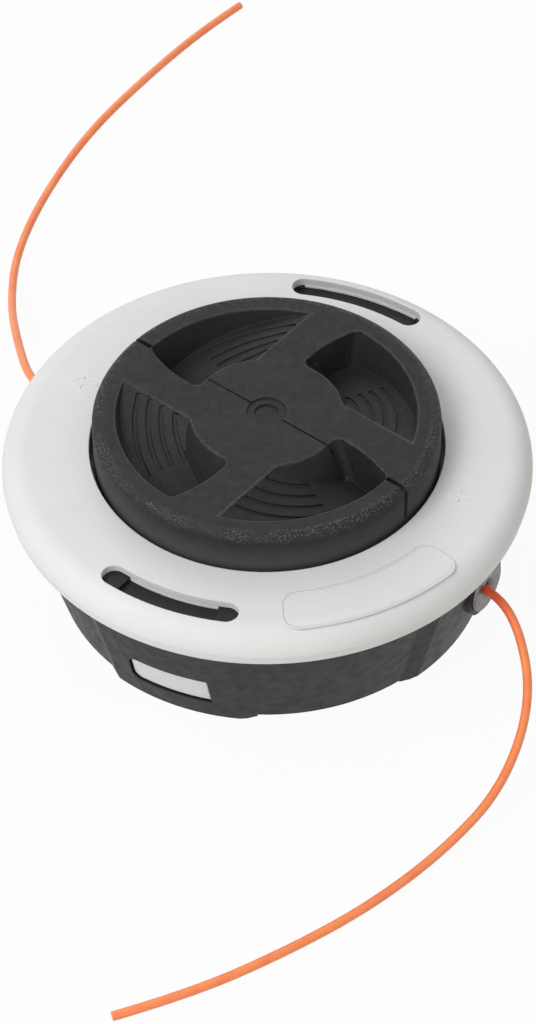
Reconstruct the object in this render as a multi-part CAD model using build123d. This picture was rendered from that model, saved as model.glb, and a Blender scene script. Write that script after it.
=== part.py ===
from build123d import *
from math import atan2, copysign, cos, degrees, pi, radians, sin, sqrt, tan
import os

os.makedirs("parts", exist_ok=True)

# Bump feed trimmer head, standing on its mounting side with the bump knob on top.
# Millimetres. The origin is on the axis, at the seating face; +Z runs up through the knob.
# Angles are measured round +Z from +X.

# How far a shape or a cut runs on into its neighbour, so that they never only touch
overlap = 0.5

# The plate is the widest part, and the radii of the housing, spool and knob follow from it
plate_r = 70.0

# Housing: a moulded bowl with a tapered wall, a raised web floor and a centre post
foot_inset = 12.8
foot_r = plate_r - foot_inset
cone_h = 33.5
wall_draft = 14.3
taper = tan(radians(wall_draft))
rim_r = foot_r + taper * cone_h
wall_t = 2.4
floor_z = 4.0
floor_t = 2.4
foot_chamfer = 0.8
hub_r = 16.0
nut_tower_r = 13.6
nut_tower_top = 14.5
post_r = 8.5
post_top = 41.0
post_chamfer = 1.0
shaft_clear_r = 6.4
shaft_clear_top = 24.0
rib_count = 12
rib_t = 2.0
rib_inset = 1.0

# Raised pads on the wall: two with a latch window, two that carry an eyelet
pad_t = 1.8
pad_half = 17.0
pad_slope = 4.5
pad_hollow_half = 15.0
pad_gap = 0.3
window_angles = (65.0, 245.0)
window_w = 22.6
window_h = 10.9
window_z = 13.35
window_corner_r = 3.0
eyelet_angles = {"right": -32.2, "left": 147.8}
eyelet_z = 25.0
eyelet_stand = 2.63
eyelet_seat_r = foot_r + taper * eyelet_z + eyelet_stand
eyelet_boss_r = 8.3

# Cover: the pale plate with its turned-down rim and two flexible latch arms
plate_low_r = plate_r - 0.6
plate_top = 44.0
plate_t = 2.4
rim_round = 6.5
rim_low = 34.5
skirt_gap = 0.86
skirt_in_r = rim_r + skirt_gap
skirt_corner = 0.6
plate_w = 23.17
hole_r = plate_r - plate_w
lip_t = 1.7
lip_gap = 0.3
slot_edge = 5.6
slot_w = 6.5
slot_out_r = plate_r - slot_edge
slot_in_r = slot_out_r - slot_w
slot_half = 17.8
arm_half = 9.3
arm_t = 2.0
arm_low = 7.6
arm_gap = 0.4
latch_half = 11.3
latch_recess = 0.7
latch_gap = 0.6

# Spool: two flanges, a divider and a hub that slides and turns on the post
flange_gap = 1.3
flange_r = foot_r - wall_t - flange_gap
flange_t = 2.0
divider_inset = 2.0
divider_r = flange_r - divider_inset
divider_t = 1.6
spool_low = 16.5
spool_top = 38.5
spool_hub_in_r = 18.2
spool_hub_t = 2.3
web_low = 33.0
neck_r = 12.5
neck_top = 45.0
key_w = 2.4
key_h = 1.0
key_count = 4

# Feed ratchet: dogs on the spool flanges, stops in the cover and on the housing floor
tooth_count = 4
tooth_half = 4.0
dog_inset = 0.5
dog_w = 3.8
dog_out_r = flange_r - dog_inset
dog_in_r = dog_out_r - dog_w
lower_dog_inset = 2.5
lower_dog_w = 5.0
lower_dog_out_r = flange_r - lower_dog_inset
lower_dog_in_r = lower_dog_out_r - lower_dog_w
upper_dog_h = 2.9
lower_dog_h = 3.9
stop_h = 2.8
floor_stop_h = 3.8
dog_angle = 20.0
stop_play = 0.4
lower_stop_offset = 45.0

# Bush pressed into the spool neck, running on the post
bush_t = 1.4
bush_inset = 0.4
run_gap = 0.07
press_gap = 0.02

# Coil spring between two steel washers
washer_t = 1.0
seat_washer_gap = 0.6
seat_washer_w = 4.4
seat_washer_in_r = nut_tower_r + seat_washer_gap
seat_washer_out_r = seat_washer_in_r + seat_washer_w
post_play = 0.9
hub_play = 0.6
thrust_in_r = post_r + post_play
thrust_out_r = spool_hub_in_r - hub_play
spring_inset = 1.4
spring_r = seat_washer_in_r + spring_inset
wire_r = 0.8
spring_turns = 5

# Arbor nut: a steel hexagon moulded into the hub, for an M12 x 1.5 left-hand shaft
nut_af = 19.0
nut_h = 12.0
nut_sink = 0.8
nut_bore_r = 5.19
nut_chamfer = 0.8
nut_crown = 0.1

# Line eyelets: flanged steel sleeves with a trumpet mouth
sleeve_r = 5.0
sleeve_bore_r = 1.6
sleeve_flange_r = 7.0
sleeve_flange_t = 1.0
sleeve_length = 7.2
sleeve_in_r = eyelet_seat_r - sleeve_length
sleeve_edge = 0.3
mouth_depth = 2.6
mouth_flare = 1.8
mouth_steps = ((0.0, 1.0), (0.15, 0.45), (0.5, 0.12), (1.0, 0.0))

# Bump knob: a thick wear cap with four ramped grip pockets
knob_gap = 1.21
knob_r = hole_r - knob_gap
knob_stand = 11.0
knob_top = plate_top + knob_stand
knob_round = 2.6
knob_skin = 3.0
knob_groove_inset = 2.22
knob_groove_w = 2.1
collar_t = 2.6
core_r = 18.0
fit_gap = 0.08

# Grip pockets: each is measured from its shallow edge, in degrees round the knob
pocket_count = 4
pocket_tail = 71.5
pocket_rim = 6.22
pocket_out_r = knob_r - pocket_rim
pocket_in_share = 0.508
pocket_in_r = pocket_out_r * pocket_in_share
pocket_in_start = 25.0
deep_out_angle = 69.5
deep_mid_angle = 75.8
deep_in_angle = 80.5
pocket_depth = 10.6
outer_draft = 18.0
inner_draft = 30.0
deep_draft = 10.0
pocket_foot_w = pocket_out_r - pocket_in_r - pocket_depth * (
    tan(radians(outer_draft)) + tan(radians(inner_draft)))
pocket_corner_share = 0.2241
pocket_corner_r = pocket_corner_share * pocket_foot_w
ramp_power = 0.78
ramp_side = 3.0
ramp_stations = (-0.06, 0.12, 0.3, 0.5, 0.7, 0.88, 1.0, 1.16)

# Four shallow channels in each pocket's ramp, and hollows under the arms between the pockets
groove_insets = (4.9, 8.4, 11.8, 15.4)
groove_w = 1.15
groove_d = 0.55
groove_end = 46.0
groove_lead = 1.5
arm_hollow_share = (0.585, 0.915)
arm_hollow_angles = (85.5, 94.5)

# Stepped recess in the middle, the joint line across the top and a notch in the rim at each end of it
hub_step_r = 5.2
hub_step_d = 0.45
dimple_r = 3.2
dimple_d = 1.0
seam_angle = 140.5
seam_w = 0.5
seam_d = 0.5
notch_w = 1.3
notch_d = 1.3

# Line: 2.4 mm nylon, two windings on the spool and two free ends
line_d = 2.4
winding_inset = 8.5
winding_r = flange_r - winding_inset
winding_rows = 3
winding_flat = 0.4
bend_share = 0.45

seat_z = plate_top - plate_t
lip_low = spool_top + lip_gap
floor_top = floor_z + floor_t
pad_top = rim_low - pad_gap
spool_hub_r = spool_hub_in_r + spool_hub_t
bush_in_r = post_r + run_gap
bush_out_r = bush_in_r + bush_t
spring_low = floor_top + washer_t
spring_top = web_low - washer_t
divider_z = (spool_low + spool_top) / 2
wall_cut_r = foot_r - 2 * wall_t
wall_cut = rim_r + 2 * pad_t + wall_t - wall_cut_r


def polar(r, angle, z=0.0):
    return Vector(r * cos(radians(angle)), r * sin(radians(angle)), z)


def wall_at(z):
    """outer radius of the tapered wall at height z"""
    return foot_r + taper * z


def turned(*points):
    """solid of revolution from (radius, height) points"""
    return revolve(make_face(Plane.XZ * Polyline(*points, close=True)), Axis.Z)


def sector(points, angle, half):
    """(radius, height) outline swept round the axis from angle - half to angle + half"""
    face = make_face(Plane.XZ * Polyline(*points, close=True))
    return Rot(0, 0, angle - half) * revolve(face, Axis.Z, revolution_arc=2 * half)


def block(r0, r1, z0, z1, angle, half):
    return sector([(r0, z0), (r1, z0), (r1, z1), (r0, z1)], angle, half)


def ring(r0, r1, z0, z1):
    return turned((r0, z0), (r1, z0), (r1, z1), (r0, z1))


def disc(r, z0, z1):
    return Pos(0, 0, z0) * Cylinder(r, z1 - z0, align=(Align.CENTER, Align.CENTER, Align.MIN))


def radial(shape, angle, z):
    """place a shape drawn along +Z so that it points outwards at the angle"""
    return Rot(0, 0, angle) * Pos(0, 0, z) * Rot(0, 90, 0) * shape


def tooth_angles(start):
    return [start + i * 360 / tooth_count for i in range(tooth_count)]


# Housing


def window_prism(angle, gap=0.0):
    """the latch window as a bar through the wall, with rounded corners at its left end"""
    sheet = Rectangle(window_h - 2 * gap, window_w - 2 * gap)
    corners = sheet.vertices().sort_by(Axis.Y)[:2]
    sheet = fillet(corners, window_corner_r - gap)
    return radial(Pos(0, 0, wall_cut_r) * extrude(sheet, wall_cut), angle, window_z)


def make_pad(angle):
    """raised pad that follows the tapered wall, with ends that slope back down to the wall

    It is a strip of the wall's outline, cut to a block whose side faces run along the two slopes
    and past them on both sides.
    """
    past_face, past_wall = 1.6, 0.4
    outline = [
        (wall_at(0) - overlap, 0), (wall_at(0) + pad_t - foot_chamfer, 0),
        (wall_at(foot_chamfer) + pad_t, foot_chamfer),
        (wall_at(pad_top) + pad_t, pad_top), (wall_at(pad_top) - overlap, pad_top)]
    plans = []
    for z in (-overlap, pad_top + overlap):
        face_end = polar(wall_at(z) + pad_t, pad_half, z)
        wall_end = polar(wall_at(z), pad_half + pad_slope, z)
        run = face_end - wall_end
        high = face_end + past_face * run
        low = wall_end - past_wall * run
        plans.append(make_face(Polyline(
            (0, 0, z), (low.X, -low.Y, z), (high.X, -high.Y, z), (high.X, high.Y, z),
            (low.X, low.Y, z), close=True)))
    return sector(outline, angle, pad_half + pad_slope) & Rot(0, 0, angle) * loft(plans, ruled=True)


def make_housing():
    bowl = turned(
        (0, 0), (foot_r - foot_chamfer, 0), (foot_r + taper * foot_chamfer, foot_chamfer),
        (rim_r, cone_h), (rim_r, seat_z), (0, seat_z))
    for angle in list(window_angles) + list(eyelet_angles.values()):
        bowl += make_pad(angle)
    bowl -= turned(
        (0, floor_top), (wall_at(floor_top) - wall_t, floor_top), (rim_r - wall_t, cone_h),
        (rim_r - wall_t, seat_z), (0, seat_z))
    for angle in window_angles:
        inside = pad_t - wall_t
        outline = [
            (dog_out_r, floor_top), (wall_at(floor_top) + inside, floor_top),
            (wall_at(pad_top) + inside, pad_top), (plate_r, pad_top),
            (plate_r, seat_z), (dog_out_r, seat_z)]
        bowl -= sector(outline, angle, pad_hollow_half)
        bowl -= window_prism(angle)
    bowl -= ring(hub_r, foot_r - wall_t, 0, floor_z)
    for i in range(rib_count):
        middle = (hub_r + foot_r - wall_t) / 2
        rib = Pos(middle, 0, rib_inset) * Box(
            foot_r - wall_t - hub_r + 2 * overlap, rib_t, floor_z - rib_inset + overlap,
            align=(Align.CENTER, Align.CENTER, Align.MIN))
        bowl += Rot(0, 0, (i + 0.5) * 360 / rib_count) * rib
    bowl += disc(nut_tower_r, floor_z, nut_tower_top)
    bowl += turned(
        (0, nut_tower_top - overlap), (post_r, nut_tower_top - overlap),
        (post_r, post_top - post_chamfer), (post_r - post_chamfer, post_top), (0, post_top))
    for angle in tooth_angles(dog_angle - lower_stop_offset):
        bowl += block(lower_dog_in_r, lower_dog_out_r, floor_top - overlap, floor_top + floor_stop_h,
                      angle, tooth_half)
    for angle in eyelet_angles.values():
        length = eyelet_seat_r - sleeve_in_r
        boss = Pos(0, 0, sleeve_in_r) * extrude(Circle(eyelet_boss_r), length)
        bore = Pos(0, 0, wall_cut_r) * extrude(Circle(sleeve_r + press_gap), wall_cut)
        spot_face = Pos(0, 0, eyelet_seat_r) * extrude(Circle(sleeve_flange_r + fit_gap), length)
        bowl += radial(boss, angle, eyelet_z)
        bowl -= radial(bore + spot_face, angle, eyelet_z)
    bowl -= disc(shaft_clear_r, -overlap, shaft_clear_top)
    bowl -= extrude(nut_outline(press_gap), nut_sink + nut_h)
    return bowl


def nut_outline(gap=0.0):
    return RegularPolygon(nut_af / 2 + gap, 6, major_radius=False)


def make_arbor_nut():
    nut = Pos(0, 0, nut_sink) * extrude(nut_outline(), nut_h)
    crown = turned(
        (0, nut_sink), (nut_af / 2 + nut_crown, nut_sink),
        (nut_af / 2 + nut_crown + nut_h, nut_sink + nut_h), (0, nut_sink + nut_h))
    nut &= crown
    nut -= disc(nut_bore_r, 0, nut_sink + nut_h + overlap)
    edges = nut.edges().filter_by(GeomType.CIRCLE).group_by(SortBy.RADIUS)[0]
    return chamfer(edges, nut_chamfer)


def make_eyelet(angle):
    """flanged sleeve with a flared mouth, drawn along its own axis and laid out radially"""
    start = sleeve_in_r
    seat = eyelet_seat_r
    outer = seat + sleeve_flange_t
    profile = [(sleeve_bore_r, start), (sleeve_r, start), (sleeve_r, seat), (sleeve_flange_r, seat),
               (sleeve_flange_r, outer - sleeve_edge), (sleeve_flange_r - sleeve_edge, outer)]
    for out, back in reversed(mouth_steps):
        profile.append((sleeve_bore_r + out * mouth_flare, outer - back * mouth_depth))
    return radial(turned(*profile), angle, eyelet_z)


# Cover


def arc_slot(z0, z1):
    middle = (slot_in_r + slot_out_r) / 2
    width = slot_out_r - slot_in_r
    reach = slot_half - degrees(width / 2 / middle)
    cut = block(slot_in_r, slot_out_r, z0, z1, 0, reach)
    for end in (-reach, reach):
        cut += Pos(*polar(middle, end, z0)) * disc(width / 2, 0, z1 - z0)
    return cut


def make_cover():
    section = Plane.XZ * make_face(
        Polyline((hole_r, lip_low), (hole_r, plate_top), (plate_r - rim_round, plate_top))
        + RadiusArc((plate_r - rim_round, plate_top), (plate_r, plate_top - rim_round), rim_round)
        + Polyline(
            (plate_r, plate_top - rim_round), (plate_low_r, rim_low), (skirt_in_r, rim_low),
            (skirt_in_r, seat_z - skirt_corner), (skirt_in_r - skirt_corner, seat_z),
            (hole_r + lip_t, seat_z),
            (hole_r + lip_t, lip_low), (hole_r, lip_low)))
    plate = revolve(section, Axis.Z)
    for angle in window_angles:
        plate -= Rot(0, 0, angle) * arc_slot(seat_z - overlap, plate_top + overlap)
        inside = pad_t - wall_t - arm_gap
        arm = [
            (wall_at(arm_low) + inside - arm_t, arm_low), (wall_at(arm_low) + inside, arm_low),
            (wall_at(pad_top) + inside, pad_top), (slot_out_r + arm_t, seat_z + overlap),
            (slot_out_r, seat_z + overlap), (wall_at(pad_top) + inside - arm_t, pad_top)]
        plate += sector(arm, angle, arm_half)
        low = window_z - window_h / 2
        top = window_z + window_h / 2
        face = pad_t - latch_recess
        latch = [
            (wall_at(low) + inside - overlap, low), (wall_at(low) + face, low),
            (wall_at(top) + face, top), (wall_at(top) + inside - overlap, top)]
        plate += sector(latch, angle, latch_half) & window_prism(angle, latch_gap)
    for angle in tooth_angles(dog_angle + 2 * tooth_half + stop_play):
        plate += block(dog_in_r, dog_out_r, seat_z - stop_h, seat_z + overlap, angle, tooth_half)
    return plate


# Spool and what runs with it


def make_spool():
    spool = turned(
        (bush_out_r + press_gap, web_low), (spool_hub_in_r, web_low), (spool_hub_in_r, spool_low),
        (flange_r, spool_low), (flange_r, spool_low + flange_t), (spool_hub_r, spool_low + flange_t),
        (spool_hub_r, divider_z - divider_t / 2), (divider_r, divider_z - divider_t / 2),
        (divider_r, divider_z + divider_t / 2), (spool_hub_r, divider_z + divider_t / 2),
        (spool_hub_r, spool_top - flange_t), (flange_r, spool_top - flange_t), (flange_r, spool_top),
        (neck_r, spool_top), (neck_r, neck_top), (bush_out_r + press_gap, neck_top))
    for angle in tooth_angles(dog_angle):
        spool += block(dog_in_r, dog_out_r, spool_top - overlap, spool_top + upper_dog_h,
                       angle, tooth_half)
        spool += block(lower_dog_in_r, lower_dog_out_r, spool_low - lower_dog_h, spool_low + overlap,
                       angle, tooth_half)
    for i in range(key_count):
        key = Pos(neck_r, 0, (spool_top + neck_top) / 2) * Box(2 * key_h, key_w, neck_top - spool_top)
        spool += Rot(0, 0, i * 360 / key_count) * key
    return spool


def make_spool_bush():
    return ring(bush_in_r, bush_out_r, web_low + bush_inset, neck_top - bush_inset)


def make_winding(low, high):
    """all the turns between two flanges as one body, each outer turn a rounded ridge"""
    radius = line_d / 2
    start = (low + high) / 2 - winding_rows * radius
    edge = winding_r - radius
    slope = (1 - winding_flat) / 2 * line_d
    points = [(spool_hub_r + press_gap, start + winding_rows * line_d), (spool_hub_r + press_gap, start)]
    for i in range(winding_rows):
        z = start + i * line_d
        points += [(edge, z), (winding_r, z + slope), (winding_r, z + line_d - slope)]
    points.append((edge, start + winding_rows * line_d))
    return turned(*points)


def make_spring():
    """open coil of hexagonal wire with both ends ground flat"""
    rise = spring_top - spring_low
    path = Pos(0, 0, spring_low) * Helix(rise / spring_turns, rise, spring_r)
    start = path.position_at(0)
    wire = sweep(Plane(origin=start, z_dir=path.tangent_at(0)) * RegularPolygon(wire_r, 6), path,
                 is_frenet=True)
    return wire & disc(spring_r + 2 * wire_r, spring_low, spring_top)


# Bump knob


def tail_angle_at(r):
    """angle at which a circle of radius r crosses the shallow edge of a pocket"""
    a = polar(pocket_out_r, 0)
    b = polar(pocket_in_r, pocket_in_start)
    step = b - a
    p = step.dot(step)
    q = 2 * a.dot(step)
    c = a.dot(a) - r * r
    s = (-q - sqrt(q * q - 4 * p * c)) / (2 * p)
    hit = a + step * s
    return degrees(atan2(hit.Y, hit.X))


def ramp(sink=0.0):
    """air above a pocket's ramped floor, which turns and falls from the shallow edge to the deep end"""
    sections = []
    for t in ramp_stations:
        inner = polar(pocket_in_r, pocket_in_start + t * (deep_in_angle - pocket_in_start))
        outer = polar(pocket_out_r, t * deep_out_angle)
        along = (outer - inner).normalized() * ramp_side
        inner -= along
        outer += along
        fall = copysign(min(abs(t), 1.0) ** ramp_power, t)
        z = knob_top - pocket_depth * fall - sink
        high = knob_top + 2 * overlap
        sections.append(make_face(Polyline(
            (inner.X, inner.Y, high), (outer.X, outer.Y, high), (outer.X, outer.Y, z),
            (inner.X, inner.Y, z), close=True)))
    return loft(sections)


def deep_angle_at(r):
    """angle of a pocket's deep end wall at radius r, on a smooth curve through its three given angles"""
    middle = (pocket_out_r + pocket_in_r) / 2
    reach = pocket_out_r - middle
    slope = (deep_out_angle - deep_in_angle) / 2
    bow = (deep_out_angle + deep_in_angle) / 2 - deep_mid_angle
    share = (r - middle) / reach
    return deep_mid_angle + slope * share + bow * share ** 2


def pocket_plan(depth):
    """outline of a pocket at the given depth, drawn in by the draft of its walls"""
    out_r = pocket_out_r - depth * tan(radians(outer_draft))
    in_r = pocket_in_r + depth * tan(radians(inner_draft))
    mid_r = (out_r + in_r) / 2
    step = depth * tan(radians(deep_draft))
    out_deep, mid_deep, in_deep = [
        polar(r, deep_angle_at(r) - degrees(step / r)) for r in (out_r, mid_r, in_r)]
    out_tail = tail_angle_at(out_r)
    in_tail = tail_angle_at(in_r)
    outer = ThreePointArc(
        polar(out_r, out_tail), polar(out_r, (out_tail + deep_angle_at(out_r)) / 2), out_deep)
    inner = ThreePointArc(in_deep, polar(in_r, (in_tail + deep_angle_at(in_r)) / 2), polar(in_r, in_tail))
    deep = ThreePointArc(out_deep, mid_deep, in_deep)
    front = Line(polar(in_r, in_tail), polar(out_r, out_tail))
    plan = make_face(Curve() + [outer, deep, inner, front])
    corners = [v for v in plan.vertices()
               if min((Vector(*v) - out_deep).length, (Vector(*v) - in_deep).length) < fit_gap]
    return Pos(0, 0, knob_top - depth) * fillet(corners, pocket_corner_r)


def make_pocket():
    sink = pocket_depth + groove_d + overlap
    well = loft([pocket_plan(sink), pocket_plan(-overlap)], ruled=True)
    pocket = well & ramp()
    sunk = well & ramp(groove_d)
    for inset in groove_insets:
        r = pocket_out_r - inset
        start = tail_angle_at(r) + groove_lead
        middle = (start + groove_end) / 2
        pocket += sunk & block(r - groove_w / 2, r + groove_w / 2, knob_top - sink, knob_top + overlap,
                               middle, (groove_end - start) / 2)
    return pocket


def make_knob():
    section = Plane.XZ * make_face(
        Polyline((0, spool_top), (0, knob_top), (knob_r - knob_round, knob_top))
        + RadiusArc((knob_r - knob_round, knob_top), (knob_r, knob_top - knob_round), knob_round)
        + Polyline((knob_r, knob_top - knob_round), (knob_r, spool_top), (0, spool_top)))
    knob = revolve(section, Axis.Z)
    under = knob_top - knob_skin
    groove_r = knob_r - knob_groove_inset
    knob -= ring(groove_r - knob_groove_w, groove_r, spool_top, under)
    collar_in_r = neck_r + fit_gap
    knob -= disc(collar_in_r, spool_top, under)
    knob -= ring(collar_in_r + collar_t, core_r, spool_top, under)
    for i in range(key_count):
        way = Pos(neck_r, 0, (spool_top + neck_top) / 2) * Box(
            2 * (key_h + fit_gap), key_w + 2 * fit_gap, neck_top - spool_top + 2 * overlap)
        knob -= Rot(0, 0, i * 360 / key_count) * way
    pocket = make_pocket()
    low_angle, high_angle = arm_hollow_angles
    for i in range(pocket_count):
        turn = pocket_tail - i * 360 / pocket_count
        knob -= Rot(0, 0, turn) * pocket
        low_r, high_r = [share * pocket_out_r for share in arm_hollow_share]
        knob -= block(low_r, high_r, spool_top, under, turn + (low_angle + high_angle) / 2,
                      (high_angle - low_angle) / 2)
    knob -= disc(hub_step_r, knob_top - hub_step_d, knob_top + overlap)
    knob -= disc(dimple_r, knob_top - dimple_d, knob_top + overlap)
    for side in (seam_angle, seam_angle + 180):
        start = hub_step_r - overlap
        length = pocket_in_r + overlap - start
        seam = Pos(start + length / 2, 0, knob_top) * Box(length, seam_w, 2 * seam_d)
        edge = Pos(knob_r, 0, knob_top) * Box(2 * (knob_r - pocket_out_r), notch_w, 2 * notch_d)
        skirt = Pos(knob_r, 0, (knob_top + plate_top) / 2) * Box(
            notch_d, notch_w, knob_top - plate_top)
        knob -= Rot(0, 0, side) * (seam + edge + skirt)
    return knob


# Free line ends: straight runs joined by tangent arcs, chosen by hand to lie as the line does

line_routes = {
    "right": [
        (46.4, -29.4, 25.0), (56.6, -35.3, 25.0), (64.0, -46.0, 22.6), (66.6, -66.0, 15.0),
        (58.2, -87.5, 6.8), (42.5, -103.8, 2.0), (23.0, -120.4, 1.3), (2.0, -133.6, 1.2),
        (-20.5, -145.2, 1.3), (-39.2, -151.4, 1.2)],
    "left": [
        (-46.4, 29.4, 25.0), (-56.6, 35.3, 25.0), (-65.8, 47.3, 22.6), (-70.6, 70.0, 16.4),
        (-74.4, 97.5, 5.0), (-74.2, 124.0, 1.3), (-66.6, 151.5, 1.2), (-53.7, 180.8, 1.3),
        (-36.5, 207.3, 1.2), (-19.0, 230.6, 1.3), (-6.6, 243.8, 1.2)]}


def make_line_end(name):
    points = [Vector(*p) for p in line_routes[name]]
    runs = [b - a for a, b in zip(points, points[1:])]
    radii = []
    for first, second in zip(runs, runs[1:]):
        half_turn = radians(first.get_angle(second) / 2)
        radii.append(bend_share * min(first.length, second.length) / tan(half_turn))
    path = FilletPolyline(*points, radius=radii)
    tube = sweep(Plane(origin=points[0], z_dir=runs[0]) * Circle(line_d / 2), path)
    area = pi * (line_d / 2) ** 2
    print(f"line_end_{name}: length {path.length:.1f}, volume ratio {tube.volume / (area * path.length):.4f},"
          f" radii {[round(r, 1) for r in radii]}")
    return tube


parts = {
    "housing": make_housing(),
    "arbor_nut": make_arbor_nut(),
    "cover": make_cover(),
    "spool": make_spool(),
    "spool_bush": make_spool_bush(),
    "bump_knob": make_knob(),
    "bump_spring": make_spring(),
    "seat_washer": ring(seat_washer_in_r, seat_washer_out_r, floor_top, spring_low),
    "thrust_washer": ring(thrust_in_r, thrust_out_r, spring_top, web_low),
    "line_winding_lower": make_winding(spool_low + flange_t, divider_z - divider_t / 2),
    "line_winding_upper": make_winding(divider_z + divider_t / 2, spool_top - flange_t),
}
for side, angle in eyelet_angles.items():
    parts[f"line_eyelet_{side}"] = make_eyelet(angle)
    parts[f"line_end_{side}"] = make_line_end(side)

for name, shape in parts.items():
    export_step(shape, f"parts/{name}.step")
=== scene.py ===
import bpy
import bmesh
from math import cos, degrees, hypot, pi, radians, sin, tau
from mathutils import Matrix, Vector


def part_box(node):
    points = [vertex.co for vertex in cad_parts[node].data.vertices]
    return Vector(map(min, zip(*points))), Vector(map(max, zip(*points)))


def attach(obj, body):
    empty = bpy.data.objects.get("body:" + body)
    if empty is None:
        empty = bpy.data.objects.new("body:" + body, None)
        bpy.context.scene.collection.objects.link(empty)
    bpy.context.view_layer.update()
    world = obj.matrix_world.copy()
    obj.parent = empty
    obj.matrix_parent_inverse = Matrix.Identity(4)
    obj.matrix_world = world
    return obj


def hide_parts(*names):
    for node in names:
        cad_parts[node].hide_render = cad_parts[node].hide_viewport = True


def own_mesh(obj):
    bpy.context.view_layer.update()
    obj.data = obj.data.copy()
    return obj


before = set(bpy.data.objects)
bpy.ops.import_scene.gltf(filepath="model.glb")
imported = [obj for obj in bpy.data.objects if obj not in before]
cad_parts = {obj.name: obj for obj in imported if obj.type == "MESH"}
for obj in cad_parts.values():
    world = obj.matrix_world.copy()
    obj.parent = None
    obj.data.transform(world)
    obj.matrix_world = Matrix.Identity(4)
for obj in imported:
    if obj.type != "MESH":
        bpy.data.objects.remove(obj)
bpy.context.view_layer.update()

# The bench.
# The head stands on its seating face on a white sheet, in plain soft light from the upper left.
# The camera looks down at it from in front.

scene = bpy.context.scene
scene.view_settings.view_transform = "Standard"

camera_place = (-0.0000172, -0.595600, 0.637338)
camera_tilt, camera_roll = 43.84, -0.87
film_width, lens_length = 36.0, 112.5

camera_data = bpy.data.cameras.new("camera")
camera_data.sensor_width = film_width
camera_data.lens = lens_length
camera = bpy.data.objects.new("camera", camera_data)
camera.matrix_world = (
    Matrix.Translation(camera_place)
    @ Matrix.Rotation(radians(camera_tilt), 4, "X")
    @ Matrix.Rotation(radians(camera_roll), 4, "Z"))
scene.collection.objects.link(camera)
scene.camera = camera


def node(tree, kind, sockets=None, **settings):
    """one shader node, with each socket given a value or the output it is fed from"""
    made = tree.nodes.new("ShaderNode" + kind)
    for name, value in settings.items():
        setattr(made, name, value)
    for name, value in (sockets or {}).items():
        if isinstance(value, bpy.types.NodeSocket):
            tree.links.new(value, made.inputs[name])
        else:
            made.inputs[name].default_value = value
    return made


def seen_directly(tree):
    """1 for what the camera sees, straight or in a shiny or clear surface"""
    path = node(tree, "LightPath")
    gloss = node(tree, "Math", {0: path.outputs["Is Camera Ray"], 1: path.outputs["Is Glossy Ray"]},
                 operation="MAXIMUM")
    clear = node(tree, "Math", {0: gloss.outputs[0], 1: path.outputs["Is Transmission Ray"]},
                 operation="MAXIMUM")
    return clear.outputs[0]


plain_white = (1, 1, 1, 1)
room_light = 0.48

world = bpy.data.worlds.new("studio")
world.use_nodes = True
scene.world = world
air = world.node_tree
air.nodes.clear()
soft_light = node(air, "Background", {"Color": plain_white, "Strength": room_light})
white_wall = node(air, "Background", {"Color": plain_white, "Strength": 1.0})
both = node(air, "MixShader",
            {0: seen_directly(air), 1: soft_light.outputs[0], 2: white_wall.outputs[0]})
node(air, "OutputWorld", {"Surface": both.outputs[0]})

# The sheet looks plain white, and the rest of its look keeps the head's shadow.
sheet_half = 2.0
paper_grey = (0.8, 0.8, 0.8, 1)
white_share = 0.94

sheet_mesh = bpy.data.meshes.new("white_sheet")
sheet_corners = [(-sheet_half, -sheet_half, 0), (sheet_half, -sheet_half, 0), (sheet_half, sheet_half, 0),
                 (-sheet_half, sheet_half, 0)]
sheet_mesh.from_pydata(sheet_corners, [], [(0, 1, 2, 3)])
white_sheet = bpy.data.objects.new("white_sheet", sheet_mesh)
scene.collection.objects.link(white_sheet)
paper = bpy.data.materials.new("white_paper")
paper.use_nodes = True
tree = paper.node_tree
tree.nodes.clear()
lit = node(tree, "BsdfDiffuse", {"Color": paper_grey})
glow = node(tree, "Emission", {"Color": plain_white, "Strength": 1.0})
share = node(tree, "Math", {0: seen_directly(tree), 1: white_share}, operation="MULTIPLY")
both = node(tree, "MixShader", {0: share.outputs[0], 1: lit.outputs[0], 2: glow.outputs[0]})
node(tree, "OutputMaterial", {"Surface": both.outputs[0]})
sheet_mesh.materials.append(paper)

# Square diffuser lamps aimed at the middle of the head: the place, size and power of each.
lamp_aim = Vector((0, 0, 0.03))
lamps = {
    "key_lamp": ((-0.75, -0.55, 1.15), 0.7, 9.8),
    "front_lamp": ((-0.4, -1.15, 0.65), 0.8, 2.6),
    "back_lamp": ((-0.3, 1.1, 0.9), 0.8, 3.4)}

for name, (place, size, watts) in lamps.items():
    data = bpy.data.lights.new(name, "AREA")
    data.size = size
    data.energy = watts
    lamp = bpy.data.objects.new(name, data)
    lamp.location = place
    lamp.rotation_euler = (lamp_aim - Vector(place)).to_track_quat("-Z", "Y").to_euler()
    scene.collection.objects.link(lamp)


# Free ends of line.
# Two free ends of 2.4 mm trimmer line, extruded nylon dyed orange through, cut square.
# Each leaves its eyelet at the side of the housing and falls in a loose bow to the bench.

line_thick = 0.0024
line_orange, deep_orange, pale_orange = (0.93, 0.24, 0.07), (0.97, 0.24, 0.08), (1.0, 0.3, 0.1)
mouth_red = (0.97, 0.1, 0.03)
red_until, orange_from = 0.07, 0.085


def finish(name, colour, rough, metallic=0.0, specular=0.5):
    """a new material, its nodes and its main shader"""
    material = bpy.data.materials.new(name)
    material.use_nodes = True
    shader = material.node_tree.nodes["Principled BSDF"]
    shader.inputs["Base Color"].default_value = (*colour, 1)
    shader.inputs["Roughness"].default_value = rough
    shader.inputs["Metallic"].default_value = metallic
    shader.inputs["Specular IOR Level"].default_value = specular
    return material, material.node_tree, shader


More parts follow.
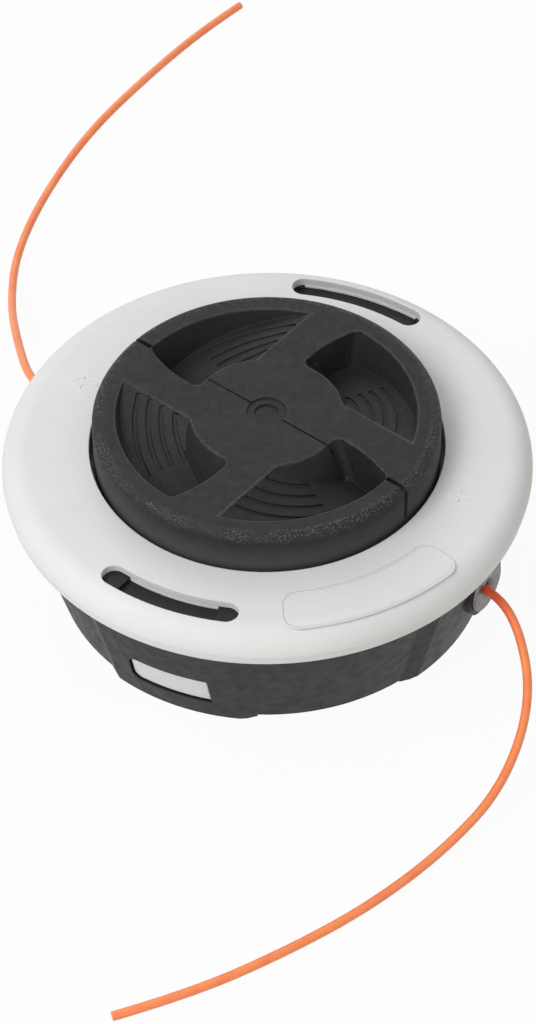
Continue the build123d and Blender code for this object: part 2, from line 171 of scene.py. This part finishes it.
def cloud(tree, size, detail=2.0, stretch=(1, 1, 1)):
    """noise from 0 to 1 whose patches are about the given size in metres"""
    place = node(tree, "TexCoord").outputs["Object"]
    scaled = node(tree, "VectorMath", {0: place, 1: stretch}, operation="MULTIPLY")
    noise = node(tree, "TexNoise", {"Vector": scaled.outputs[0], "Scale": 1 / size, "Detail": detail})
    return noise.outputs["Fac"]


def between(tree, value, low, high, start=0.0, end=1.0):
    """value from low..high laid onto start..end, and held there outside it"""
    return node(tree, "MapRange", {"Value": value, "From Min": low, "From Max": high, "To Min": start,
                                   "To Max": end}).outputs["Result"]


def blend_colour(tree, share, first, second):
    """first where share is 0, second where it is 1"""
    mix = node(tree, "Mix", data_type="RGBA")
    tree.links.new(share, mix.inputs[0])
    for socket, value in ((mix.inputs[6], first), (mix.inputs[7], second)):
        if isinstance(value, bpy.types.NodeSocket):
            tree.links.new(value, socket)
        else:
            socket.default_value = (*value, 1)
    return mix.outputs[2]


def mottled(tree, size, first, second, detail=3.0, low=0.35, high=0.65):
    """two tones that drift into each other over patches of about the given size"""
    return blend_colour(tree, between(tree, cloud(tree, size, detail), low, high), first, second)


def uneven_sheen(tree, shader, size, smoothest, roughest):
    """roughness that wanders between two values over patches of about the given size"""
    rough = between(tree, cloud(tree, size), 0.3, 0.7, smoothest, roughest)
    tree.links.new(rough, shader.inputs["Roughness"])


def roughen(tree, shader, height, depth, normal=None):
    """bump of the given depth in metres"""
    sockets = {"Height": height, "Distance": depth, "Strength": 1.0}
    if normal is not None:
        sockets["Normal"] = normal
    bump = node(tree, "Bump", sockets)
    tree.links.new(bump.outputs[0], shader.inputs["Normal"])
    return bump.outputs[0]


def dyed_line(name):
    """nylon line with a faintly cloudy orange dye: its material, nodes, shader and colour"""
    material, tree, shader = finish(name, line_orange, rough=0.38)
    shader.inputs["Subsurface Weight"].default_value = 0.15
    shader.inputs["Subsurface Radius"].default_value = (0.6, 0.2, 0.1)
    shader.inputs["Subsurface Scale"].default_value = 0.001
    orange = mottled(tree, 0.006, deep_orange, pale_orange, detail=2.0)
    tree.links.new(orange, shader.inputs["Base Color"])
    uneven_sheen(tree, shader, 0.0012, 0.36, 0.42)
    roughen(tree, shader, cloud(tree, 0.0008), depth=0.000008)
    return material, tree, shader, orange


# The line's colour turns redder close to its eyelet, following the distance from the head's foot.
orange_nylon, tree, shader, orange = dyed_line("orange_nylon")
from_head = node(tree, "VectorMath", {0: node(tree, "TexCoord").outputs["Object"]}, operation="LENGTH")
faded = between(tree, from_head.outputs["Value"], red_until, orange_from)
tree.links.new(blend_colour(tree, faded, mouth_red, orange), shader.inputs["Base Color"])

line_routes = {
    "right": [
        (0.0464, -0.0294, 0.0250), (0.0566, -0.0353, 0.0250), (0.0640, -0.0460, 0.0226),
        (0.0666, -0.0660, 0.0150), (0.0582, -0.0875, 0.0068), (0.0425, -0.1038, 0.0020),
        (0.0230, -0.1204, 0.0013), (0.0020, -0.1336, 0.0012), (-0.0205, -0.1452, 0.0013),
        (-0.0392, -0.1514, 0.0012)],
    "left": [
        (-0.0464, 0.0294, 0.0250), (-0.0566, 0.0353, 0.0250), (-0.0658, 0.0473, 0.0226),
        (-0.0706, 0.0700, 0.0164), (-0.0744, 0.0975, 0.0050), (-0.0742, 0.1240, 0.0013),
        (-0.0666, 0.1515, 0.0012), (-0.0537, 0.1808, 0.0013), (-0.0365, 0.2073, 0.0012),
        (-0.0190, 0.2306, 0.0013), (-0.0066, 0.2438, 0.0012)]}

for side, route in line_routes.items():
    curve = bpy.data.curves.new(f"free_line_{side}", "CURVE")
    curve.dimensions = "3D"
    spline = curve.splines.new("NURBS")
    spline.points.add(len(route) - 1)
    for point, place in zip(spline.points, route):
        point.co = (*place, 1)
    spline.order_u = 3
    spline.use_endpoint_u = True
    spline.resolution_u = 20
    curve.bevel_depth = line_thick / 2
    curve.bevel_resolution = 5
    curve.use_fill_caps = True
    free_line = bpy.data.objects.new(f"free_line_{side}", curve)
    scene.collection.objects.link(free_line)
    curve.materials.append(orange_nylon)
    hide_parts(f"line_end_{side}")
    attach(free_line, "head")


# Housing.
# The bowl that carries everything: one moulding in glass-filled black nylon with a fine satin grain.
# It screws onto the gearbox through the nut in its hub.

bowl_black = (0.016, 0.0163, 0.0167)
bowl_deep, bowl_pale = (0.014, 0.0143, 0.0146), (0.0175, 0.0178, 0.0181)
moulded_edge = 0.0004


def soft_edges(tree, radius):
    """normals that round every sharp edge to the given radius"""
    return node(tree, "Bevel", {"Radius": radius}, samples=6).outputs[0]


def paint(name, material):
    """give a solid of the frame its finish"""
    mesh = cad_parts[name].data
    mesh.materials.clear()
    mesh.materials.append(material)
    for face in mesh.polygons:
        face.material_index = 0


housing_nylon, tree, shader = finish("housing_nylon", bowl_black, rough=0.5, specular=0.24)
tree.links.new(mottled(tree, 0.02, bowl_deep, bowl_pale), shader.inputs["Base Color"])
uneven_sheen(tree, shader, 0.003, 0.44, 0.58)
roughen(tree, shader, cloud(tree, 0.00035, 3.0), depth=0.00006, normal=soft_edges(tree, moulded_edge))
paint("housing", housing_nylon)


# Arbor nut.
# A zinc-plated steel hexagon moulded into the hub, its corners turned down at both faces, and cut
# with a left-hand M12 x 1.5 thread that runs out at each end.

def span(name, axis):
    """lowest and highest place of a solid of the frame along one axis, to a hundredth of a millimetre"""
    low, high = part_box(name)
    return round(low[axis], 5), round(high[axis], 5)


def steel_like(name, colour, rough, streak=(1, 1, 1)):
    """bare metal with faint blotches and a fine grain, which streak draws out along an axis"""
    material, tree, shader = finish(name, colour, rough, metallic=1.0)
    dull = tuple(0.82 * c for c in colour)
    tree.links.new(mottled(tree, 0.004, dull, colour), shader.inputs["Base Color"])
    uneven_sheen(tree, shader, 0.0015, rough - 0.07, rough + 0.09)
    roughen(tree, shader, cloud(tree, 0.0005, 2.0, streak), depth=0.00002)
    return material


def skin(name, rows, closed=False):
    """mesh over rows of points, each row a ring; the last row joins the first, or both ends are capped"""
    n = len(rows[0])
    points = [point for row in rows for point in row]
    faces = []
    for k in range(len(rows) if closed else len(rows) - 1):
        a, b = k * n, (k + 1) % len(rows) * n
        for i in range(n):
            j = (i + 1) % n
            faces.append((a + i, a + j, b + j, b + i))
    if not closed:
        faces.append(tuple(range(n)))
        faces.append(tuple(range(len(points) - n, len(points))))
    mesh = bpy.data.meshes.new(name)
    mesh.from_pydata(points, [], faces)
    return mesh


def lathe(name, rings, segments):
    """closed solid of revolution round the upright axis. Each ring is (radius, height) in metres, where
    the radius may be a function of the angle in radians; the last ring joins the first."""
    rows = []
    for radius, height in rings:
        row = []
        for i in range(segments):
            angle = tau * i / segments
            r = radius(angle) if callable(radius) else radius
            row.append((r * cos(angle), r * sin(angle), height))
        rows.append(row)
    return skin(name, rows, closed=True)


def piece_of(name, mesh, material, body, bend):
    """an object for a mesh, smooth but for edges sharper than the bend in degrees"""
    work = bmesh.new()
    work.from_mesh(mesh)
    bmesh.ops.recalc_face_normals(work, faces=work.faces)
    for face in work.faces:
        face.smooth = True
    work.to_mesh(mesh)
    work.free()
    mesh.set_sharp_from_angle(angle=radians(bend))
    mesh.materials.append(material)
    piece = bpy.data.objects.new(name, mesh)
    scene.collection.objects.link(piece)
    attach(piece, body)
    return piece


zinc_steel = steel_like("zinc_steel", (0.5, 0.49, 0.47), rough=0.36)
nut_flats = span("arbor_nut", 1)[1]
nut_low, nut_high = span("arbor_nut", 2)
corner_cut, corner_cut_height = 0.00055, 0.0004
thread_root, thread_crest, thread_pitch, run_out_height = 0.00588, 0.00519, 0.0015, 0.0009
groove_width, flank_slope = 1.35, 2.2
rows_a_pitch, nut_segments = 12, 72


def hexagon(inset):
    """radius of the nut's outside at an angle, with its corners turned down by the inset"""
    def radius(angle):
        return min(nut_flats / cos((angle % (pi / 3)) - pi / 6), nut_flats / cos(pi / 6) - inset)
    return radius


def thread_at(height):
    """radius of the nut's bore at an angle, where the thread passes the given height"""
    def radius(angle):
        phase = (height / thread_pitch + angle / tau) % 1.0
        groove = min(max(groove_width - abs(2 * phase - 1) * flank_slope, 0.0), 1.0)
        run_out = min(max(min(height - nut_low, nut_high - height) / run_out_height, 0.0), 1.0)
        return thread_root - (thread_root - thread_crest) * (1 - groove) * run_out
    return radius


rings = [(hexagon(corner_cut), nut_low), (hexagon(0), nut_low + corner_cut_height),
         (hexagon(0), nut_high - corner_cut_height), (hexagon(corner_cut), nut_high)]
thread_rows = round((nut_high - nut_low) / thread_pitch * rows_a_pitch)
for k in range(thread_rows + 1):
    height = nut_high - (nut_high - nut_low) * k / thread_rows
    rings.append((thread_at(height), height))
mesh = lathe("threaded_nut", rings, nut_segments)
nut = piece_of("threaded_nut", mesh, zinc_steel, "head", bend=30.0)
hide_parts("arbor_nut")


# Line eyelets.
# Turned steel sleeves pressed into the housing wall, with a flange outside and a polished trumpet
# mouth, so that the line runs out without being cut.

mm = 0.001
dull_steel = steel_like("dull_steel", (0.22, 0.213, 0.207), rough=0.42)
eyelet_angles = {"right": -32.2, "left": 147.8}
eyelet_height, eyelet_segments = 0.025, 64

# Radius, and distance from the head's axis, in millimetres.
sleeve_body = [(1.6, 59.3), (1.9, 59.0), (4.8, 59.0), (5.0, 59.2), (5.0, 66.2)]
sleeve_flange = [(6.85, 66.2), (7.0, 66.35), (7.0, 66.85), (6.9, 67.05), (6.65, 67.18), (6.1, 67.2)]
sleeve_mouth = [(4.2, 67.2), (3.5, 67.13), (3.0, 67.0), (2.6, 66.8), (2.25, 66.5), (1.95, 66.05),
                (1.75, 65.5), (1.63, 64.8), (1.6, 64.2)]

for side, angle in eyelet_angles.items():
    rings = [(r * mm, z * mm) for r, z in sleeve_body + sleeve_flange + sleeve_mouth]
    mesh = lathe(f"sleeve_{side}", rings, eyelet_segments)
    mesh.transform(
        Matrix.Rotation(radians(angle), 4, "Z")
        @ Matrix.Translation((0, 0, eyelet_height))
        @ Matrix.Rotation(radians(90), 4, "Y"))
    sleeve = piece_of(f"sleeve_{side}", mesh, dull_steel, "head", bend=40.0)
    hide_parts(f"line_eyelet_{side}")


# Bump spring and its washers.
# A compression spring of drawn steel wire, with closed ends ground flat, between two stamped washers.

spring_wire = steel_like("spring_wire", (0.45, 0.45, 0.46), rough=0.3, streak=(1, 1, 4))
washer_steel = steel_like("stamped_steel", (0.52, 0.52, 0.52), rough=0.38, streak=(1, 4, 1))
paint("seat_washer", washer_steel)
paint("thrust_washer", washer_steel)

spring_low, spring_high = span("bump_spring", 2)
coil_r, wire_r, wire_sides = 0.0156, 0.0008, 12
coil_turns, steps_a_turn = 7, 48
closed_pitch = 2 * wire_r * 1.05


def tube(name, path, radius, sides, floor=None, ceiling=None):
    """round bar along points that wind round the axis, with flat caps, ground off at two heights if given"""
    rows = []
    for k, place in enumerate(path):
        ahead = path[min(k + 1, len(path) - 1)] - path[max(k - 1, 0)]
        out = Vector((place.x, place.y, 0)).normalized()
        up = ahead.normalized().cross(out).normalized()
        row = []
        for i in range(sides):
            angle = tau * i / sides
            point = place + radius * (cos(angle) * out + sin(angle) * up)
            if floor is not None:
                point.z = min(max(point.z, floor), ceiling)
            row.append(point)
        rows.append(row)
    return skin(name, rows)


def wire_height(turns):
    """height of the wire's middle: one closed turn at each end, open coils between"""
    low, high = spring_low + 0.5 * wire_r, spring_high - 0.5 * wire_r
    if turns < 1:
        return low + closed_pitch * turns
    if turns > coil_turns - 1:
        return high - closed_pitch * (coil_turns - turns)
    return low + closed_pitch + (high - low - 2 * closed_pitch) * (turns - 1) / (coil_turns - 2)


wire_path = []
for k in range(coil_turns * steps_a_turn + 1):
    turns = k / steps_a_turn
    angle = tau * turns
    wire_path.append(Vector((coil_r * cos(angle), coil_r * sin(angle), wire_height(turns))))
mesh = tube("coil_spring", wire_path, wire_r, wire_sides, spring_low, spring_high)
spring = piece_of("coil_spring", mesh, spring_wire, "head", bend=40.0)
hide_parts("bump_spring")
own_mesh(spring)


# Spool and its bush.
# The spool is moulded in plain black nylon; a sintered bronze-coloured bush in its neck runs on the post.

spool_black, spool_deep, spool_pale = (0.045, 0.045, 0.047), (0.04, 0.04, 0.042), (0.052, 0.052, 0.054)
bush_bronze = (0.72, 0.55, 0.28)

spool_nylon, tree, shader = finish("spool_nylon", spool_black, rough=0.42, specular=0.4)
tree.links.new(mottled(tree, 0.012, spool_deep, spool_pale), shader.inputs["Base Color"])
uneven_sheen(tree, shader, 0.002, 0.36, 0.5)
roughen(tree, shader, cloud(tree, 0.0006), depth=0.00003)
paint("spool", spool_nylon)
paint("spool_bush", steel_like("sintered_bush", bush_bronze, rough=0.5))


# Wound line.
# Two windings of the same orange line, laid turn by turn and layer on layer between the spool's flanges.

wound_nylon = dyed_line("wound_nylon")[0]
winding_rows, winding_layers = 3, 10
first_layer_r, last_layer_r = 0.02172, 0.0438
winding_steps, winding_sides = 60, 8

for band in ("lower", "upper"):
    low, high = span(f"line_winding_{band}", 2)
    middle = (low + high) / 2
    path = []
    for layer in range(winding_layers):
        r = first_layer_r + (last_layer_r - first_layer_r) * layer / (winding_layers - 1)
        climb = 1 if layer % 2 == 0 else -1
        steps = (winding_rows - 1) * winding_steps
        for k in range(steps + winding_steps // 2):
            turned = k / winding_steps
            share = min(turned / (winding_rows - 1), 1.0)
            angle = tau * (layer * (winding_rows - 0.5) + turned)
            z = middle + climb * line_thick * (winding_rows - 1) * (share - 0.5)
            path.append(Vector((r * cos(angle), r * sin(angle), z)))
    mesh = tube(f"wound_line_{band}", path, line_thick / 2, winding_sides)
    wound = piece_of(f"wound_line_{band}", mesh, wound_nylon, "feed_spool", bend=50.0)
    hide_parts(f"line_winding_{band}")


# Cover.
# The pale plate that closes the bowl: moulded nylon in a warm white, matt on top, with two springy
# latch arms that snap into the housing's windows.

warm_white, shaded_white, bright_white = (0.74, 0.75, 0.73), (0.72, 0.735, 0.715), (0.765, 0.77, 0.75)


def pale_nylon(name, edge_r=None):
    """the cover's warm white, with its sharp edges rounded where a radius is given"""
    material, tree, shader = finish(name, warm_white, rough=0.55, specular=0.4)
    tree.links.new(mottled(tree, 0.03, shaded_white, bright_white, low=0.3, high=0.7),
                   shader.inputs["Base Color"])
    uneven_sheen(tree, shader, 0.004, 0.48, 0.62)
    rounded = soft_edges(tree, edge_r) if edge_r else None
    roughen(tree, shader, cloud(tree, 0.0007), depth=0.00005, normal=rounded)
    return material


cover_nylon = pale_nylon("cover_nylon", moulded_edge)
paint("cover", cover_nylon)


# Webs and lips of the slots.
# Under each of the plate's two slots lies a dark web of the housing's nylon. A pale lip under the plate
# carries one wall of the slot down to it, and the front slot has a raised dark step at each end.

slot_back, slot_front = 65.0, 245.0
plate_under = 0.0416
web_low, web_top = 0.0398, 0.0409
web_radii, web_half, web_segments = (0.0545, 0.0643), 17.5, 70
step_radii, step_start, step_top, step_segments = (0.05795, 0.06435), 12.3, 0.0421, 8

# The middle of each slot, and its lip's two radii and half angle.
lips = {"back": (slot_back, (0.0642, 0.065), 15.6), "front": (slot_front, (0.0568, 0.058), step_start)}
lip_segments = 40

# Lips and steps start a tenth of a millimetre inside the web that carries them.
rooted = web_top - 0.0001


def arc_block(name, radii, heights, middle, ends, segments, nylon):
    """closed strip of a ring between two radii, two heights and two ends in degrees off the middle"""
    (r0, r1), (z0, z1), (low, high) = radii, heights, ends
    rows = []
    for k in range(segments + 1):
        angle = radians(middle + low + (high - low) * k / segments)
        section = ((r0, z0), (r1, z0), (r1, z1), (r0, z1))
        rows.append([(r * cos(angle), r * sin(angle), z) for r, z in section])
    piece_of(name, skin(name, rows), nylon, "head", bend=30.0)


for side, (middle, lip_radii, lip_half) in lips.items():
    arc_block(f"slot_web_{side}", web_radii, (web_low, web_top), middle, (-web_half, web_half),
              web_segments, housing_nylon)
    arc_block(f"slot_lip_{side}", lip_radii, (rooted, plate_under), middle, (-lip_half, lip_half),
              lip_segments, cover_nylon)
for side, ends in (("low", (-web_half, -step_start)), ("high", (step_start, web_half))):
    arc_block(f"slot_step_{side}", step_radii, (rooted, step_top), slot_front, ends,
              step_segments, housing_nylon)


# Raised marks on the plate.
# Low ridges moulded with the cover: a frame round a bare panel, and two small arrows that point
# outwards. Sizes here are in millimetres and degrees.

mark_nylon = pale_nylon("mark_nylon")
plate_top = span("cover", 2)[1]
panel_in, panel_out, panel_start, panel_end, panel_corner = 54.5, 66.5, -87.0, -43.0, 4.0
corner_steps, arc_step = 6, 1.5
frame_width, frame_height = 0.7, 0.12
arrow_tip, arrow_neck, shaft_half, barb_half = 3.6, 0.4, 0.6, 2.2
arrow_width, arrow_height = 0.5, 0.15
arrow_places = {"right": (53.6, -23.4, -20.0), "left": (53.9, 154.6, 165.0)}


def raised_bar(name, points, width, height, nylon):
    """a low moulded ridge with a rounded back, closed round points on the plate, in metres"""
    section = [(-0.5, -0.2), (-0.5, 0.45), (-0.25, 1.0), (0.25, 1.0), (0.5, 0.45), (0.5, -0.2)]
    rows = []
    for k, (x, y) in enumerate(points):
        before, after = points[k - 1], points[(k + 1) % len(points)]
        along = Vector((after[0] - before[0], after[1] - before[1])).normalized()
        side = Vector((-along.y, along.x))
        rows.append([(x + side.x * across * width, y + side.y * across * width, plate_top + up * height)
                     for across, up in section])
    piece_of(name, skin(name, rows, closed=True), nylon, "head", bend=50.0)


def on_plate(r, angle):
    """the place on the plate, in metres, at a radius and an angle"""
    return (r * mm * cos(radians(angle)), r * mm * sin(radians(angle)))


def ring_path(corners):
    """points on the plate through (radius, angle) corners, following circles where the angle changes"""
    points = []
    for (r0, a0), (r1, a1) in zip(corners, corners[1:] + corners[:1]):
        steps = max(1, round(abs(a1 - a0) / arc_step))
        for k in range(steps):
            share = k / steps
            points.append(on_plate(r0 + (r1 - r0) * share, a0 + (a1 - a0) * share))
    return points


corner_in, corner_out = panel_in + panel_corner, panel_out - panel_corner
corners = []
for r, end, first in ((corner_in, panel_start, 180), (corner_out, panel_start, 270),
                      (corner_out, panel_end, 0), (corner_in, panel_end, 90)):
    inward = degrees(panel_corner / r)
    middle = end + inward if end == panel_start else end - inward
    for step in range(corner_steps + 1):
        turn = radians(first + 90 / corner_steps * step)
        corners.append((r + panel_corner * cos(turn), middle + degrees(panel_corner * sin(turn) / r)))
raised_bar("plate_panel_frame", ring_path(corners), frame_width * mm, frame_height * mm, cover_nylon)

arrow_outline = [
    (-arrow_tip, shaft_half), (arrow_neck, shaft_half), (arrow_neck, barb_half), (arrow_tip, 0.0),
    (arrow_neck, -barb_half), (arrow_neck, -shaft_half), (-arrow_tip, -shaft_half)]
for side, (r, angle, heading) in arrow_places.items():
    x0, y0 = on_plate(r, angle)
    c, s = cos(radians(heading)), sin(radians(heading))
    arrow = [(x0 + (x * c - y * s) * mm, y0 + (x * s + y * c) * mm) for x, y in arrow_outline]
    raised_bar(f"plate_arrow_{side}", arrow, arrow_width * mm, arrow_height * mm, mark_nylon)


# Bump knob.
# The wear part that is tapped on the ground: a thick moulding in coarse black nylon with four ramped
# grip pockets. Its rounded rim and the pocket edges are painted a lighter, speckled grey for scuffing with a
# painted highlight, and its skirt is painted lighter towards the bottom as painted light.

knob_r = span("bump_knob", 0)[1]
knob_top = span("bump_knob", 2)[1]
hub_zone, pocket_zone = 0.0195, 0.0405
rim_in, rim_out = knob_r - 0.0032, knob_r - 0.0022
rim_low, rim_high = knob_top - 0.0026, knob_top - 0.0006
skirt_low, skirt_blend = knob_top - 0.011, 0.0015

knob_black = (0.015, 0.0152, 0.0154)
knob_deep, knob_pale = (0.013, 0.0132, 0.0134), (0.0165, 0.0167, 0.0169)
# Painted light among these tones: the skirt's grey lifts the shade low on the skirt, and the scuffed grey is
# rim scuffing with a painted highlight.
skirt_painted_light_grey, scuff_and_highlight_grey = (0.06, 0.0603, 0.061), (0.13, 0.13, 0.127)
edge_grey, edge_deep, edge_pale = (0.03, 0.03, 0.0293), (0.018, 0.0182, 0.0184), (0.042, 0.042, 0.041)


def times(tree, a, b):
    """product of two values"""
    return node(tree, "Math", {0: a, 1: b}, operation="MULTIPLY").outputs[0]


knob_nylon, tree, shader = finish("knob_nylon", knob_black, rough=0.6, specular=0.27)
place = node(tree, "TexCoord").outputs["Object"]
flat = node(tree, "VectorMath", {0: place, 1: (1, 1, 0)}, operation="MULTIPLY")
from_axis = node(tree, "VectorMath", {0: flat.outputs[0]}, operation="LENGTH").outputs["Value"]
height = node(tree, "SeparateXYZ", {0: place}).outputs["Z"]
# The rounded rim is painted a speckled lighter grey: scuffing, with a painted highlight.
rim = times(tree, between(tree, from_axis, rim_in, rim_out), between(tree, height, rim_low, rim_high))
patches = between(tree, cloud(tree, 0.009), 0.34, 0.56, 0.25, 1.0)
speckle = between(tree, cloud(tree, 0.00045), 0.52, 0.68)
scuff_and_painted_highlight = times(tree, times(tree, rim, patches), speckle)
# The skirt outside the pockets is painted lighter towards its bottom: painted light that lifts the shade
# near the plate.
skirt = between(tree, from_axis, pocket_zone, pocket_zone + skirt_blend)
skirt_painted_light = times(tree, skirt, between(tree, height, rim_low, skirt_low))
plain = mottled(tree, 0.01, knob_deep, knob_pale, detail=4.0)
plain_with_skirt_light = blend_colour(tree, skirt_painted_light, plain, skirt_painted_light_grey)
tree.links.new(blend_colour(tree, scuff_and_painted_highlight, plain_with_skirt_light, scuff_and_highlight_grey), shader.inputs["Base Color"])
uneven_sheen(tree, shader, 0.002, 0.52, 0.68)
grain = roughen(tree, shader, cloud(tree, 0.0005, 3.0), depth=0.00012)
roughen(tree, shader, scuff_and_painted_highlight, depth=0.00008, normal=grain)

# The rounded pocket rims get a lighter speckled grey: scuffing, with a painted highlight.
edge_wear_and_highlight, tree, shader = finish("knob_edge_wear_and_highlight", edge_grey, rough=0.55, specular=0.35)
tree.links.new(mottled(tree, 0.0009, edge_deep, edge_pale, low=0.42, high=0.66), shader.inputs["Base Color"])
uneven_sheen(tree, shader, 0.002, 0.48, 0.66)
roughen(tree, shader, cloud(tree, 0.0005, 3.0), depth=0.0001)

weld_gap, level_reach = 0.000002, 0.00012
step_low, step_high = knob_top - 0.00015, knob_top - 0.00005


def level_ramps(work):
    """bring the shallow end of each pocket's ramp up to the top, where the solid keeps a fine step"""
    raised = [v for v in work.verts if step_low < v.co.z < step_high]
    for vert in raised:
        vert.co.z = knob_top
    near = [v for v in work.verts if min((v.co - r.co).length for r in raised) < level_reach]
    bmesh.ops.remove_doubles(work, verts=near, dist=level_reach)


# How wide the edges are rounded, and where: the joint line's notches and the fine edges just under
# the top stay sharp, and so does everything below the pockets and outside them.
top_edge, inner_edge, hub_edge = 0.00045, 0.0002, 0.0001
joint_angle, joint_half, notch_start = radians(140.5), 0.0018, 0.0375
top_gap, near_top, pocket_floor = 0.00001, knob_top - 0.0016, knob_top - 0.0125
top_bend, wall_bend, rubbed_bend = 10, 30, 50


def knob_edge(edge):
    """how wide an edge of the knob is rounded, in metres: most where a fingertip rubs it"""
    if len(edge.link_faces) != 2:
        return 0.0
    bend = degrees(edge.calc_face_angle())
    middle = (edge.verts[0].co + edge.verts[1].co) / 2
    from_middle = hypot(middle.x, middle.y)
    on_top = min(v.co.z for v in edge.verts) > knob_top - top_gap
    off_joint = abs(middle.x * sin(joint_angle) - middle.y * cos(joint_angle))
    if middle.z < pocket_floor or from_middle > pocket_zone or bend < (top_bend if on_top else wall_bend):
        return 0.0
    if from_middle < hub_zone:
        return hub_edge
    if (off_joint < joint_half and from_middle > notch_start) or (middle.z > near_top and not on_top):
        return 0.0
    if not on_top or bend < rubbed_bend:
        return inner_edge
    return top_edge


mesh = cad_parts["bump_knob"].data.copy()
mesh.materials.clear()
mesh.materials.append(knob_nylon)
mesh.materials.append(edge_wear_and_highlight)
work = bmesh.new()
work.from_mesh(mesh)
bmesh.ops.remove_doubles(work, verts=work.verts, dist=weld_gap)
level_ramps(work)
edge_share = work.edges.layers.float.new("bevel_weight_edge")
for face in work.faces:
    face.material_index = 0
    face.smooth = True
for edge in work.edges:
    width = knob_edge(edge)
    edge[edge_share] = width / top_edge
    edge.smooth = width > 0 or len(edge.link_faces) != 2 or edge.calc_face_angle() < radians(wall_bend)
work.to_mesh(mesh)
work.free()
if "custom_normal" in mesh.attributes:
    mesh.attributes.remove(mesh.attributes["custom_normal"])

knob = bpy.data.objects.new("grip_knob", mesh)
scene.collection.objects.link(knob)
bevel = knob.modifiers.new("rounded edges", "BEVEL")
bevel.width = top_edge
bevel.segments = 2
bevel.limit_method = "WEIGHT"
bevel.use_clamp_overlap = False
bevel.loop_slide = False
bevel.harden_normals = True
bevel.material = 1
graph = bpy.context.evaluated_depsgraph_get()
rounded_mesh = bpy.data.meshes.new_from_object(knob.evaluated_get(graph), depsgraph=graph)
knob.modifiers.clear()
knob.data = rounded_mesh
bpy.data.meshes.remove(mesh)

# Only the rounded edges at the pockets' rims keep the lighter edge finish: scuffing, with a painted
# highlight.
for face in knob.data.polygons:
    if face.center.z <= rim_high or hypot(face.center.x, face.center.y) <= hub_zone:
        face.material_index = 0
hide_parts("bump_knob")
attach(knob, "feed_spool")
